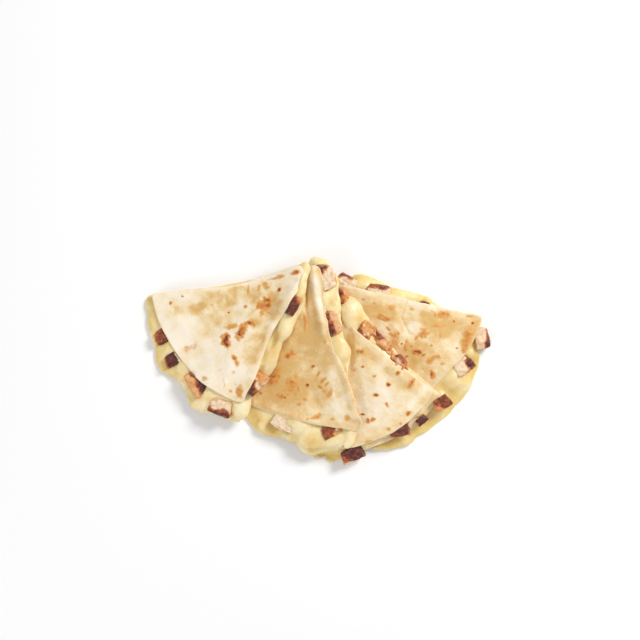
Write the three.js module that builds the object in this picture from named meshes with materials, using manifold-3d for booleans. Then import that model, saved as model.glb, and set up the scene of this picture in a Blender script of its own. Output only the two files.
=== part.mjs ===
// A chicken and cheese quesadilla, cut into four wedges that are fanned out so that each one
// rests on the next. Millimetres, +Z up. The wedges' points meet at the back of the fan and
// their round edges face the front (-Y). Wedge 4, on the right, lies flat. Wedge 3 lies partly
// on it, wedge 2 on wedge 3, and wedge 1, on the left, on top.
import * as THREE from "three";
import { mergeVertices } from "three/addons/utils/BufferGeometryUtils.js";
import Module from "manifold-3d";

const { clamp, degToRad, euclideanModulo, lerp, radToDeg, smoothstep } = THREE.MathUtils;
const wasm = await Module();
wasm.setup();

// ---- Driving dimensions -------------------------------------------------------------------------

const RADIUS = 125; // a 10 inch flour tortilla, a little shrunk by the pan
const TORTILLA = 2; // thickness of one tortilla
const FILLING = 6.2; // height of the cheese between the tortillas, away from the edges
const GAP = 0.35; // between touching pieces of one wedge
const CLEARANCE = 0.9; // between a wedge and the one that it rests on, measured upwards
const DRAPE = 36; // length over which a wedge bends down from its neighbour to the table
const OVERHANG = 5; // a wedge is fully raised this far outside its neighbour's straight edge

const TIP_SHARE = 0.42; // the filling's height at a wedge's point, as a share of FILLING
const RIM_SHARE = 0.8; // and at its round edge
const SIDE_SHARE = 0.75; // and at its straight edges
const CRUMB_SPREAD = 12; // how far from a piece of chicken the tortilla over it is raised

const WELL_UP = 0.9; // cheese beside a tortilla's edge stands this far above its underside
const RUN_OUT = 15; // length over which the escaped cheese thins out
const THIN = 3.4; // its height where it has thinned out
const LIP = 5; // width of its rounded outer edge
const SWEEP = 10; // the tool that cuts a tortilla's place out is this many gaps thicker than it
const SKIRT = 0.8; // cheese that hangs over a lower wedge stays this much further off it

const TORTILLA_STEPS = [7, 12]; // across and along a wedge
const CHEESE_STEPS = [7, 9];
const BLUNT = 7; // width of a wedge's cut-off point

// ---- The four wedges ----------------------------------------------------------------------------
//
// tip: where the wedge's point is. left, right: directions of its straight edges, in degrees
// from +X, anticlockwise. over: the wedges beneath it. Each layer has a radius that varies
// across the wedge as a list of [place, extra, width] swells, where place 0 is the left edge and
// 1 the right, and straight edges that swell outwards by the same kind of list along their
// length, where place 0 is the point and 1 the round edge. slip moves a layer outwards, heel
// lengthens its point backwards.

const WEDGES = {
  4: {
    tip: [7, -5],
    left: 293,
    right: 347.3,
    over: [],
    top: { radius: RADIUS - 1, arc: [[0.5, -7, 0.22]] },
    base: { radius: RADIUS + 3, slip: 7, arc: [[1, -16, 0.28]] },
    cheese: {
      radius: RADIUS + 17,
      arc: [[0, -5, 0.12], [1, -19, 0.24]],
      rightEdge: [[0.22, 8, 0.12], [0.42, 7, 0.16], [0.6, 2, 0.1]],
      leftEdge: [[1, 3, 0.3]],
      heel: 4,
    },
  },
  3: {
    tip: [-3, -12],
    left: 270,
    right: 319.5,
    over: [4],
    top: { radius: RADIUS - 1, arc: [[1, -5, 0.16]], rightEdge: [[0.4, -3, 0.4]] },
    base: { radius: RADIUS, slip: 5, arc: [[1, -3, 0.12]], rightEdge: [[0.4, 2, 0.3], [1, 4, 0.4]] },
    cheese: {
      radius: RADIUS + 3,
      arc: [[0, -5, 0.08], [0.15, 5, 0.14], [1, -3, 0.3]],
      rightEdge: [[0.18, 13, 0.13], [0.36, 8, 0.12], [0.6, 3, 0.16]],
      heel: 5,
    },
  },
  2: {
    tip: [-2, 10],
    left: 234,
    right: 283,
    over: [4, 3],
    top: {
      radius: RADIUS - 3,
      arc: [[1, 5, 0.3], [0.4, -2, 0.2]],
      rightEdge: [[0.4, -5, 0.2], [0.8, 3, 0.2]],
    },
    base: { radius: RADIUS, slip: 8, arc: [[0, -8, 0.2], [0.75, 6, 0.25]] },
    cheese: {
      radius: RADIUS + 11,
      arc: [[0.78, 14, 0.2], [0.4, 3, 0.12], [0.05, -6, 0.2], [1, -12, 0.1]],
      rightEdge: [[0.09, 9, 0.09], [0.25, 8, 0.14], [0.53, 8, 0.13]],
      heel: 6,
    },
  },
  1: {
    tip: [-11.5, 8.5],
    left: 191,
    right: 244,
    over: [3, 2],
    top: {
      radius: RADIUS - 4.5,
      arc: [[1, -6, 0.22]],
      leftEdge: [[0.45, -5, 0.3]],
      rightEdge: [[0.5, 2, 0.3]],
    },
    base: {
      radius: RADIUS - 1,
      slip: 6,
      arc: [[0, -9, 0.2], [1, -4, 0.2]],
      leftEdge: [[0.45, -7, 0.3]],
      rightEdge: [[1, 5, 0.3]],
    },
    cheese: {
      radius: RADIUS + 9,
      arc: [[0, -12, 0.1], [0.43, 5, 0.08], [0.72, 8, 0.09], [1, -3, 0.1]],
      leftEdge: [[0.45, -5, 0.3]],
      rightEdge: [[0.3, 9, 0.16], [0.6, 9, 0.16], [0.95, 7, 0.12]],
      heel: 5,
    },
  },
};

// Pieces of grilled chicken: at is the middle, seen from above, size is length, width and
// height, turn is the direction of the length in degrees, and raise lifts a piece off the lower
// tortilla.
const CHICKEN = {
  1: [
    { at: [-124, -45], size: [12, 10, 6.5], turn: 32 },
    { at: [-114.5, -63], size: [15, 11, 7], turn: 27 },
    { at: [-96, -82], size: [20, 12, 7], turn: -55 },
    { at: [-77, -101], size: [17, 12, 7], turn: -18 },
    { at: [-20.5, -20], size: [15, 11, 9], turn: 62, raise: 2 },
    { at: [-48.5, -82], size: [19, 10, 8.5], turn: 48, raise: 1 },
  ],
  2: [
    { at: [5.5, 1], size: [20, 13.5, 8.5], turn: -77 },
    { at: [11, -34.5], size: [19, 10, 8.5], turn: -68 },
    { at: [-27.5, -112.5], size: [18, 12, 7.5], turn: -25 },
    { at: [10, -118.5], size: [15, 11, 7.5], turn: 30 },
  ],
  3: [
    { at: [17.5, -13.5], size: [12, 11, 6.5], turn: -30 },
    { at: [38, -40], size: [13, 11, 8], turn: 50 },
    { at: [51, -49], size: [14, 7, 6], turn: -40 },
    { at: [64.5, -64.5], size: [11, 8, 6.5], turn: -58 },
    { at: [64.5, -118], size: [15, 11, 7], turn: 10 },
    { at: [27, -138.5], size: [18, 10, 7.5], turn: 25 },
    { at: [82, -111], size: [10, 6, 5.5], turn: 42 },
    { at: [98, -97.5], size: [14, 10, 7], turn: 32 },
  ],
  4: [
    { at: [22.5, -2.5], size: [17, 12, 7.5], turn: -36 },
    { at: [48, -10], size: [19, 12, 7.5], turn: -16 },
    { at: [84, -22], size: [9, 8, 6], turn: -30 },
    { at: [130.5, -46.5], size: [17, 11, 7], turn: -82 },
    { at: [115.5, -68.5], size: [16, 12, 7.5], turn: 36 },
  ],
};

// ---- Plan: where a layer's outline runs ---------------------------------------------------------

const direction = (degrees) => [Math.cos(degToRad(degrees)), Math.sin(degToRad(degrees))];
const middle = (wedge) => (wedge.left + wedge.right) / 2;

// The sum of a list of smooth swells at a place.
function swell(list = [], place) {
  const bell = (offset) => Math.exp(-(offset ** 2));
  return list.reduce((sum, [centre, extra, width]) => sum + extra * bell((place - centre) / width), 0);
}

// Where a point lies in a wedge: mm from the wedge's tip, and across it from 0 at its left edge
// to 1 at its right.
function locate(wedge, x, y) {
  const dx = x - wedge.tip[0];
  const dy = y - wedge.tip[1];
  const turned = euclideanModulo(radToDeg(Math.atan2(dy, dx)) - middle(wedge) + 180, 360) - 180;
  return { reach: Math.hypot(dx, dy), across: 0.5 + turned / (wedge.right - wedge.left) };
}

// mm from a point to the nearest edge of a layer, positive inside it.
function inset(wedge, layer, x, y) {
  const slip = layer.slip ?? 0;
  const out = direction(middle(wedge));
  const px = x - out[0] * slip;
  const py = y - out[1] * slip;
  const { reach, across } = locate(wedge, px, py);
  const along = clamp(reach / layer.radius, 0, 1);
  const toArc = layer.radius + swell(layer.arc, clamp(across, 0, 1)) - reach;
  const dx = px - wedge.tip[0];
  const dy = py - wedge.tip[1];
  const left = direction(wedge.left);
  const right = direction(wedge.right);
  const toLeft = left[0] * dy - left[1] * dx + swell(layer.leftEdge, along) + BLUNT / 2;
  const toRight = right[1] * dx - right[0] * dy + swell(layer.rightEdge, along) + BLUNT / 2;
  return Math.min(toArc, toLeft, toRight);
}

// The plan position at a place across a layer (0 left, 1 right) and along it (0 point, 1 round
// edge). grow widens the layer all round.
function planPoint(wedge, layer, across, along, grow) {
  const out = direction(middle(wedge));
  const heel = (layer.heel ?? 0) + grow;
  const back = (layer.slip ?? 0) - heel * (1 - along);
  const toSide = direction(middle(wedge) + 90);
  const blunt = (across - 0.5) * BLUNT;
  const ray = direction(lerp(wedge.left, wedge.right, across));
  const reach = along * (layer.radius + swell(layer.arc, across) + grow);
  const offRight = direction(wedge.right + 90);
  const offLeft = direction(wedge.left - 90);
  const toRight = across * (swell(layer.rightEdge, along) + grow);
  const toLeft = (1 - across) * (swell(layer.leftEdge, along) + grow);
  return [0, 1].map((i) => {
    const sides = toSide[i] * blunt + offRight[i] * toRight + offLeft[i] * toLeft;
    return wedge.tip[i] + out[i] * back + ray[i] * reach + sides;
  });
}

// ---- Heights ------------------------------------------------------------------------------------

const chickenHeight = (piece) => piece.size[2] + (piece.raise ?? 0) + 2 * GAP;

// Space between the two tortillas of a wedge. It swells over each piece of chicken.
function fillingHeight(name, x, y) {
  const { reach, across } = locate(WEDGES[name], x, y);
  const along = clamp(reach / RADIUS, 0, 1);
  const side = Math.abs(2 * clamp(across, 0, 1) - 1);
  const plain =
    FILLING *
    lerp(TIP_SHARE, 1, smoothstep(along, 0, 0.45)) *
    lerp(1, RIM_SHARE, smoothstep(along, 0.75, 1)) *
    lerp(1, SIDE_SHARE, side ** 4);
  const raised = CHICKEN[name].map((piece) => {
    const away = Math.hypot(x - piece.at[0], y - piece.at[1]);
    return Math.max(0, chickenHeight(piece) - plain) * Math.exp(-((away / CRUMB_SPREAD) ** 4));
  });
  return plain + Math.max(0, ...raised);
}

// Height of a wedge's underside: 0 on the table, rising smoothly onto the wedges beneath.
function restHeight(name, x, y) {
  return WEDGES[name].over.reduce((height, lower) => {
    const beneath = WEDGES[lower];
    const inside = inset(beneath, beneath.cheese, x, y);
    const raised = smoothstep(inside + OVERHANG + DRAPE, 0, DRAPE);
    return Math.max(height, raised * (topHeight(lower, x, y) + CLEARANCE));
  }, 0);
}

const ceilingHeight = (name, x, y) => restHeight(name, x, y) + TORTILLA + fillingHeight(name, x, y);
const topHeight = (name, x, y) => ceilingHeight(name, x, y) + TORTILLA;

// Top of the cheese: it welds itself to the upper tortilla, and where it has escaped it thins
// out to a rounded lip.
function cheeseTop(name, x, y) {
  const wedge = WEDGES[name];
  const rest = restHeight(name, x, y);
  const under = ceilingHeight(name, x, y) + WELL_UP;
  const outside = -inset(wedge, wedge.top, x, y);
  const level = lerp(under - rest, THIN, smoothstep(outside, 0, RUN_OUT));
  const lip = clamp(inset(wedge, wedge.cheese, x, y) / LIP, 0, 1);
  return rest + level * lerp(0.4, 1, Math.sqrt(1 - (1 - lip) ** 2));
}

// ---- Solids -------------------------------------------------------------------------------------

// A three.js geometry as a manifold-3d solid.
function solidOf(geometry) {
  geometry.deleteAttribute("normal");
  geometry.deleteAttribute("uv");
  const merged = mergeVertices(geometry, 1e-3);
  return new wasm.Manifold(
    new wasm.Mesh({
      numProp: 3,
      vertProperties: new Float32Array(merged.attributes.position.array),
      triVerts: new Uint32Array(merged.index.array),
    }),
  );
}

// A manifold-3d solid as a three.js geometry. A cut can leave loose slivers, so only the largest
// body is kept.
function geometryOf(solid) {
  const larger = (best, other) => (other.volume() > best.volume() ? other : best);
  const body = solid.decompose().reduce(larger);
  const mesh = body.getMesh();
  return new THREE.BufferGeometry()
    .setAttribute("position", new THREE.BufferAttribute(new Float32Array(mesh.vertProperties), 3))
    .setIndex(new THREE.BufferAttribute(new Uint32Array(mesh.triVerts), 1));
}

// Moves every vertex of a geometry to the point that place gives for it.
function warp(geometry, place) {
  const position = geometry.attributes.position;
  const vertex = new THREE.Vector3();
  for (let i = 0; i < position.count; i++) {
    vertex.fromBufferAttribute(position, i);
    position.setXYZ(i, ...place(vertex));
  }
  return geometry;
}

// A layer of a wedge between two height functions. It starts as a slab of unit size.
function layerSolid(name, layer, steps, low, high, grow = 0) {
  const slab = new THREE.BoxGeometry(1, 1, 1, ...steps, 1);
  return solidOf(
    warp(slab, (v) => {
      const [x, y] = planPoint(WEDGES[name], layer, 0.5 - v.x, v.y + 0.5, grow);
      return [x, y, v.z > 0 ? high(x, y) : low(x, y)];
    }),
  );
}

// grow is 0 for the tortilla itself, and GAP for the tool that cuts its place out of its neighbours.
function topTortilla(name, grow = 0) {
  return layerSolid(
    name,
    WEDGES[name].top,
    TORTILLA_STEPS,
    (x, y) => ceilingHeight(name, x, y) - grow,
    (x, y) => topHeight(name, x, y) + SWEEP * grow,
    grow,
  );
}

function baseTortilla(name, grow = 0) {
  return layerSolid(
    name,
    WEDGES[name].base,
    TORTILLA_STEPS,
    (x, y) => restHeight(name, x, y) - SWEEP * grow,
    (x, y) => restHeight(name, x, y) + TORTILLA + grow,
    grow,
  );
}

// A diced piece of chicken with its corners rounded off, resting on the lower tortilla.
function chickenBlock(name, piece, grow = 0) {
  const [length, width, height] = piece.size.map((size) => size + 2 * grow);
  const [x, y] = piece.at;
  const block = warp(new THREE.BoxGeometry(2, 2, 2, 2, 2, 2), (v) => {
    const corner = (v.lengthSq() - 1) / 2; // 0 in the middle of a face, 1 at a corner
    const round = 1 - 0.1 * Math.max(0, corner);
    return [v.x * round * (1 - 0.12 * v.y), v.y * round * (1 + 0.1 * v.x), v.z * round];
  });
  block.scale(length / 2, width / 2, height / 2);
  block.rotateZ(degToRad(piece.turn));
  const lift = restHeight(name, x, y) + TORTILLA + GAP + (piece.raise ?? 0) + piece.size[2] / 2;
  return solidOf(block.translate(x, y, lift));
}

function filling(name) {
  const low = (x, y) => restHeight(name, x, y) + Math.min(SKIRT, restHeight(name, x, y));
  const high = (x, y) => cheeseTop(name, x, y);
  const poured = layerSolid(name, WEDGES[name].cheese, CHEESE_STEPS, low, high);
  const pieces = CHICKEN[name].map((piece) => chickenBlock(name, piece, GAP));
  const holes = [topTortilla(name, GAP), baseTortilla(name, GAP), ...pieces];
  return holes.reduce((solid, hole) => solid.subtract(hole), poured);
}

// ---- The object ---------------------------------------------------------------------------------

const flour = new THREE.MeshStandardMaterial({ color: 0xe9cfa4, roughness: 0.7, metalness: 0 });
const cheese = new THREE.MeshStandardMaterial({ color: 0xe6cf7a, roughness: 0.35, metalness: 0 });
const chicken = new THREE.MeshStandardMaterial({ color: 0xb5703e, roughness: 0.55, metalness: 0 });

const quesadilla = new THREE.Group();

function add(name, solid, material) {
  const mesh = new THREE.Mesh(geometryOf(solid), material);
  mesh.name = name;
  quesadilla.add(mesh);
}

for (const name of Object.keys(WEDGES)) {
  add(`wedge${name}_tortilla_base`, baseTortilla(name), flour);
  add(`wedge${name}_cheese`, filling(name), cheese);
  add(`wedge${name}_tortilla_top`, topTortilla(name), flour);
  const cutters = [topTortilla(name, GAP), baseTortilla(name, GAP)];
  CHICKEN[name].forEach((piece, i) => {
    const seated = cutters.reduce((solid, cutter) => solid.subtract(cutter), chickenBlock(name, piece));
    add(`wedge${name}_chicken_${i + 1}`, seated, chicken);
  });
}

// The origin is the middle of the fan's footprint, on the table.
const box = new THREE.Box3().setFromObject(quesadilla);
const centre = box.getCenter(new THREE.Vector3());
quesadilla.children.forEach((mesh) => mesh.position.set(-centre.x, -centre.y, -box.min.z));

export default quesadilla;
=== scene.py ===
"""The looks of a chicken and cheese quesadilla: four tortilla wedges in a fan, with their points together.

Lengths are in millimetres until a mesh is made, in metres. Directions are in degrees, anticlockwise from +X.
Wedge 1 is the one on the left and lies on top. Wedge 4 is the one on the right and lies flat.
"""

import functools
import math

import bmesh
import bpy
import numpy as np
from mathutils import Matrix, Vector
from mathutils.bvhtree import BVHTree


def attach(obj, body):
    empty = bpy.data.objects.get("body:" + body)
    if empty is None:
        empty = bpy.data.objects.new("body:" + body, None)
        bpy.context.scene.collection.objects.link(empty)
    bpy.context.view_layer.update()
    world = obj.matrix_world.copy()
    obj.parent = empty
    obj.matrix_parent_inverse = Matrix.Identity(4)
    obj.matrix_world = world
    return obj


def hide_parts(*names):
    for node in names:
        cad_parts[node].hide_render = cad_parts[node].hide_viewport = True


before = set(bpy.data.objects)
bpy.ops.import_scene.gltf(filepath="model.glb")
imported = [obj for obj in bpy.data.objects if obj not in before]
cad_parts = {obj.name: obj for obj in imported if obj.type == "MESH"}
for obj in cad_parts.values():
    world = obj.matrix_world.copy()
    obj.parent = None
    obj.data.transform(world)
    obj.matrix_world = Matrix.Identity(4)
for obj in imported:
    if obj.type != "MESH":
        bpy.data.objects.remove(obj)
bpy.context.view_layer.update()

MM = 0.001
WEDGES = (1, 2, 3, 4)
SKY = 200  # a height above all the CAD solids
DOWN = Vector((0, 0, -1))

# ---- Numbers -------------------------------------------------------------------------------------------

TORTILLA = 2.0  # thickness of a tortilla
EDGE_ROUND = 1.0  # how far in from its rim a tortilla's edge is rounded
EDGE_RINGS = [0.06, 0.2, 0.45, 0.8, 1.2]  # how far in the mesh's first rings of points are
TOP_CELL = 0.55  # size of the mesh's cells on the upper side of an upper tortilla
BASE_CELL = 1.1  # on the upper side of a lower one
UNDER_CELL = 1.6  # and on the underside of both
CHEESE_CELL = 0.86
CHICKEN_CELL = 0.46
CORNER = math.radians(35)  # a rim that turns more than this at a point has a corner there
CORNER_ROUND = 1.8  # how strongly corners are rounded off
LAYER = 3.0  # how far above one wedge's noise the next one's is read, so that no two wedges are alike

# ---- Camera, light and floor ---------------------------------------------------------------------------

# In metres.
CAMERA_HEIGHT = 1.0
VIEW_WIDTH = 0.512  # of the table
VIEW_CENTRE = (0.0019, 0.0329)
SENSOR = 36  # the camera's sensor, in millimetres
FLOOR_SIZE = 6
FLOOR_DROP = 0.0002  # how far the floor lies below the part


def camera():
    data = bpy.data.cameras.new("camera")
    data.sensor_width = SENSOR
    data.lens = SENSOR * CAMERA_HEIGHT / VIEW_WIDTH
    data.clip_start = 0.01
    data.clip_end = 20
    made = bpy.data.objects.new("camera", data)
    made.location = (*VIEW_CENTRE, CAMERA_HEIGHT)
    bpy.context.scene.collection.objects.link(made)
    bpy.context.scene.camera = made


def lamp(name, place, size, power):
    """A round lamp that shines at the origin."""
    data = bpy.data.lights.new(name, "AREA")
    data.shape = "DISK"
    data.size = size
    data.energy = power
    made = bpy.data.objects.new(name, data)
    made.location = place
    made.rotation_euler = (-Vector(place)).to_track_quat("-Z", "Y").to_euler()
    bpy.context.scene.collection.objects.link(made)


def studio():
    lamp("key", place=(0.7, 0.6, 0.85), size=0.4, power=10.6)
    lamp("fill", place=(-0.8, -0.7, 0.6), size=1.0, power=4.6)
    world = bpy.data.worlds.new("studio")
    world.use_nodes = True
    background = world.node_tree.nodes["Background"]
    background.inputs["Color"].default_value = (1, 1, 1, 1)
    background.inputs["Strength"].default_value = 0.5
    bpy.context.scene.world = world
    bpy.context.scene.view_settings.view_transform = "Standard"
    bpy.ops.mesh.primitive_plane_add(size=FLOOR_SIZE, location=(0, 0, -FLOOR_DROP))
    floor = bpy.context.object
    floor.name = "floor"
    material = bpy.data.materials.new("floor")
    material.use_nodes = True
    shader = material.node_tree.nodes["Principled BSDF"]
    shader.inputs["Base Color"].default_value = (0.98, 0.98, 0.98, 1)
    shader.inputs["Roughness"].default_value = 0.8
    floor.data.materials.append(material)


# ---- Noise and shaping in plan -------------------------------------------------------------------------

LATTICE = np.random.default_rng(7).uniform(-1, 1, (32, 32, 32))
SEED_STEP = 7.31  # how far apart in the lattice two seeds' noise is read


def noise(points, size, seed):
    """Smooth noise from -1 to 1 whose bumps are about size across."""
    place = points / size + SEED_STEP * seed
    cell = np.floor(place).astype(int)
    part = place - cell
    part = part * part * (3 - 2 * part)
    total = np.zeros(len(points))
    for corner in np.ndindex(2, 2, 2):
        weight = np.prod(np.where(corner, part, 1 - part), axis=1)
        i, j, k = ((cell + corner) % len(LATTICE)).T
        total += weight * LATTICE[i, j, k]
    return total


def fractal(points, size, octaves, seed):
    """Noise with finer and weaker noise added to it."""
    return sum(noise(points, size / 2**n, seed + n) / 2**n for n in range(octaves))


def layered(points, layer):
    """Points in plan at their layer's height in the noise."""
    return np.column_stack([points[:, :2], np.full(len(points), LAYER * layer)])


def smoothstep(low, high, value):
    share = np.clip((value - low) / (high - low), 0, 1)
    return share * share * (3 - 2 * share)


def ellipse(points, x, y, along, across, turn=0.0):
    """0 in the middle of an ellipse in plan, 1 on its rim, and more outside.

    along and across are half its sizes."""
    angle = math.radians(turn)
    dx, dy = points[:, 0] - x, points[:, 1] - y
    u = dx * math.cos(angle) + dy * math.sin(angle)
    v = dy * math.cos(angle) - dx * math.sin(angle)
    return np.hypot(u / along, v / across)


def from_line(points, line):
    """mm in plan from a line through a few points, and the share of the way along it of its nearest point."""
    line = np.array(line, float)
    best = np.full(len(points), np.inf)
    share = np.zeros(len(points))
    for n, (a, b) in enumerate(zip(line, line[1:])):
        along = np.clip((points[:, :2] - a) @ (b - a) / np.sum((b - a) ** 2), 0, 1)
        away = np.linalg.norm(points[:, :2] - a - along[:, None] * (b - a), axis=1)
        share = np.where(away < best, (n + along) / (len(line) - 1), share)
        best = np.minimum(best, away)
    return best, share


# ---- Reading the CAD solids ----------------------------------------------------------------------------


def solid(name):
    """The vertices and triangles of a CAD node, with vertices at one place merged."""
    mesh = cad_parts[name].data
    mesh.calc_loop_triangles()
    vertices = np.array([v.co for v in mesh.vertices]) / MM
    triangles = np.array([t.vertices for t in mesh.loop_triangles])
    _, first, same = np.unique(vertices.round(3), axis=0, return_index=True, return_inverse=True)
    return vertices[first], same.reshape(-1)[triangles]


UPWARD = 0.3  # a triangle belongs to the upper side where its normal's part along Z is more than this
CURVE_POINTS = 24  # points of the smooth curve from each corner of an outline to the next


def outline(name):
    """The rim of a layer's upper side in plan, anticlockwise, as smooth and evenly spaced points."""
    vertices, triangles = solid(name)
    a, b, c = (vertices[triangles[:, n]] for n in range(3))
    normal = np.cross(b - a, c - a)
    upper = triangles[normal[:, 2] > UPWARD * np.linalg.norm(normal, axis=1)]
    edges = {(int(t[n]), int(t[n - 2])) for t in upper for n in range(3)}
    follow = dict(e for e in edges if e[::-1] not in edges)
    loop = [next(iter(sorted(follow)))]
    while follow[loop[-1]] != loop[0]:
        loop.append(follow[loop[-1]])
    corners = vertices[loop, :2]
    ahead = np.roll(corners, -1, 0) - corners
    behind = np.roll(ahead, 1, 0)
    sideways = behind[:, 0] * ahead[:, 1] - behind[:, 1] * ahead[:, 0]
    turn = np.arctan2(sideways, np.sum(behind * ahead, axis=1))
    tangent = (ahead + behind) / 2
    tangent[np.abs(turn) > CORNER] = 0
    t = np.linspace(0, 1, CURVE_POINTS, endpoint=False)[:, None]
    curve = []
    for p, q, m, k in zip(corners, np.roll(corners, -1, 0), tangent, np.roll(tangent, -1, 0)):
        places = (1 + 2 * t) * (1 - t) ** 2 * p + t * (1 - t) ** 2 * m
        curve.append(places + t * t * (3 - 2 * t) * q - t * t * (1 - t) * k)
    return even(np.concatenate(curve), 1.0, CORNER_ROUND)


HALVABLE = 64  # the count of points is a multiple of this, so that it can be halved again and again


def even(loop, spacing, rounding):
    """A closed line with evenly spaced points, smoothed over a length of rounding."""
    for _ in range(2):
        closed = np.vstack([loop, loop[:1]])
        length = np.concatenate([[0], np.cumsum(np.linalg.norm(np.diff(closed, axis=0), axis=1))])
        count = HALVABLE * max(1, round(length[-1] / spacing / HALVABLE))
        at = np.arange(count) * length[-1] / count
        loop = np.stack([np.interp(at, length, closed[:, n]) for n in range(closed.shape[1])], axis=1)
        if rounding:
            wave = np.fft.fftfreq(count, length[-1] / count)
            soft = np.exp(-2 * (math.pi * wave * rounding) ** 2)[:, None]
            loop = np.fft.ifft(np.fft.fft(loop, axis=0) * soft, axis=0).real
            rounding = 0
    return loop


class Relief:
    """The height of a CAD solid's upper side at any point in plan, with its facets smoothed away."""

    step = 1.5  # size of the grid's cells
    margin = 14  # how far the grid reaches past the solid
    blur = 3.5

    def __init__(self, name):
        vertices, triangles = solid(name)
        tree = BVHTree.FromPolygons(vertices.tolist(), triangles.tolist())
        self.low = vertices[:, :2].min(0) - self.margin
        shape = np.ceil((vertices[:, :2].max(0) + self.margin - self.low) / self.step).astype(int)
        height = np.full(shape, np.nan)
        for i, j in np.ndindex(*shape):
            x, y = self.low + self.step * np.array((i, j))
            hit = tree.ray_cast(Vector((x, y, SKY)), DOWN)[0]
            if hit is not None:
                height[i, j] = hit[2]
        self.grid = blurred(filled(height), self.blur / self.step)

    def __call__(self, points):
        place = np.clip((points[:, :2] - self.low) / self.step, 0, np.array(self.grid.shape) - 1.001)
        i, j = np.floor(place).astype(int).T
        u, v = (place - np.floor(place)).T
        near = self.grid[i, j] * (1 - u) + self.grid[i + 1, j] * u
        far = self.grid[i, j + 1] * (1 - u) + self.grid[i + 1, j + 1] * u
        return near * (1 - v) + far * v


def filled(height):
    """A grid with its empty cells filled from their neighbours, outwards."""
    height = height.copy()
    while np.isnan(height).any():
        padded = np.pad(height, 1, constant_values=np.nan)
        near = np.stack([padded[1:-1, :-2], padded[1:-1, 2:], padded[:-2, 1:-1], padded[2:, 1:-1]])
        known = ~np.isnan(near)
        total = np.where(known, near, 0).sum(0)
        count = known.sum(0)
        new = np.isnan(height) & (count > 0)
        height[new] = total[new] / count[new]
    return height


def blurred(grid, sigma):
    reach = math.ceil(3 * sigma)
    kernel = np.exp(-0.5 * (np.arange(-reach, reach + 1) / sigma) ** 2)
    kernel /= kernel.sum()
    for axis in (0, 1):
        wide = np.pad(grid, [(reach, reach) if n == axis else (0, 0) for n in (0, 1)], mode="edge")
        grid = np.apply_along_axis(lambda line: np.convolve(line, kernel, "valid"), axis, wide)
    return grid


# ---- Making meshes -------------------------------------------------------------------------------------


def piece(name, vertices, triangles, material, slot, replaces, **attributes):
    """A smooth mesh that rides on the part and stands for CAD nodes.

    The attributes are values at its vertices, for the material to read."""
    mesh = bpy.data.meshes.new(name)
    mesh.vertices.add(len(vertices))
    mesh.vertices.foreach_set("co", np.asarray(vertices * MM, np.float32).ravel())
    mesh.loops.add(triangles.size)
    mesh.loops.foreach_set("vertex_index", triangles.astype(np.int32).ravel())
    mesh.polygons.add(len(triangles))
    mesh.polygons.foreach_set("loop_start", np.arange(0, triangles.size, 3, dtype=np.int32))
    mesh.update(calc_edges=True)
    mesh.validate()
    mesh.shade_smooth()
    for key, values in attributes.items():
        mesh.attributes.new(key, "FLOAT", "POINT").data.foreach_set("value", values.astype(np.float32))
    mesh.materials.append(material)
    made = bpy.data.objects.new(name, mesh)
    bpy.context.scene.collection.objects.link(made)
    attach(made, "root")
    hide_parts(*replaces)
    return made


CLOSE = 0.6  # points closer than this share of a cell are too close
FEWEST = 16  # a ring with this many points or fewer is not halved


def disc(rim, centre, depths, cell):
    """Rings of points from a rim in to a centre, the triangles between them, and a share for each point.

    The triangles face up. A point's share is 1 at the rim and 0 at the centre. depths are how far in from
    the rim the first rings are, and more follow at every cell. Where a ring's points come too close, the next
    ring has half as many."""
    spread = np.linalg.norm(rim - centre, axis=1).mean()
    pitch = np.linalg.norm(np.roll(rim, 1, 0) - rim, axis=1).mean()
    depths = [0, *depths, *np.arange(depths[-1] + cell, spread - cell, cell)]
    points, triangles, shares = [], [], []
    start, stride = 0, 1
    for n, depth in enumerate(depths):
        share = 1 - depth / spread
        count = len(rim) // stride
        ring = centre + (rim[::stride] - centre) * share
        points.append(ring)
        shares.append(np.full(count, share))
        j = np.arange(count)
        following = (j + 1) % count
        last = n == len(depths) - 1
        if last:
            middle = np.full(count, start + count)
            triangles.append(np.stack([start + j, start + following, middle], axis=1))
            break
        inner = start + count
        if pitch * stride * share < CLOSE * cell and count % 2 == 0 and count > FEWEST:
            stride *= 2
            half = np.arange(count // 2)
            after = (half + 1) % (count // 2)
            a, b, c = start + 2 * half, start + 2 * half + 1, start + (2 * half + 2) % count
            triangles.append(np.stack([a, b, inner + half], axis=1))
            triangles.append(np.stack([b, inner + after, inner + half], axis=1))
            triangles.append(np.stack([b, c, inner + after], axis=1))
        else:
            triangles.append(np.stack([start + j, start + following, inner + j], axis=1))
            triangles.append(np.stack([start + following, inner + following, inner + j], axis=1))
        start = inner
    points.append(centre[None])
    shares.append(np.zeros(1))
    return np.concatenate(points), np.concatenate(triangles), np.concatenate(shares)


def outward_of(rim):
    """The outward direction at each point of an anticlockwise rim."""
    ahead = np.roll(rim, -1, 0) - np.roll(rim, 1, 0)
    return np.stack([ahead[:, 1], -ahead[:, 0]], axis=1) / np.linalg.norm(ahead, axis=1)[:, None]


def edge_depth(rim, centre, points, shares):
    """mm from each point of a disc to its rim."""
    reach = np.sum((rim - centre) * outward_of(rim), axis=1)
    angle = np.arctan2(*(rim - centre).T[::-1])
    order = np.argsort(angle)
    at = np.arctan2(*(points - centre).T[::-1])
    return (1 - shares) * np.interp(at, angle[order], reach[order], period=2 * math.pi)


# ---- Toast marks ---------------------------------------------------------------------------------------
#
# [x, y, half its length, half its width, turn, how dark] of each mark on a wedge's upper side. Small dark
# ones are burnt blisters. The streak beside wedge 2's ridge is partly painted shade in its crease.

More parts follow.
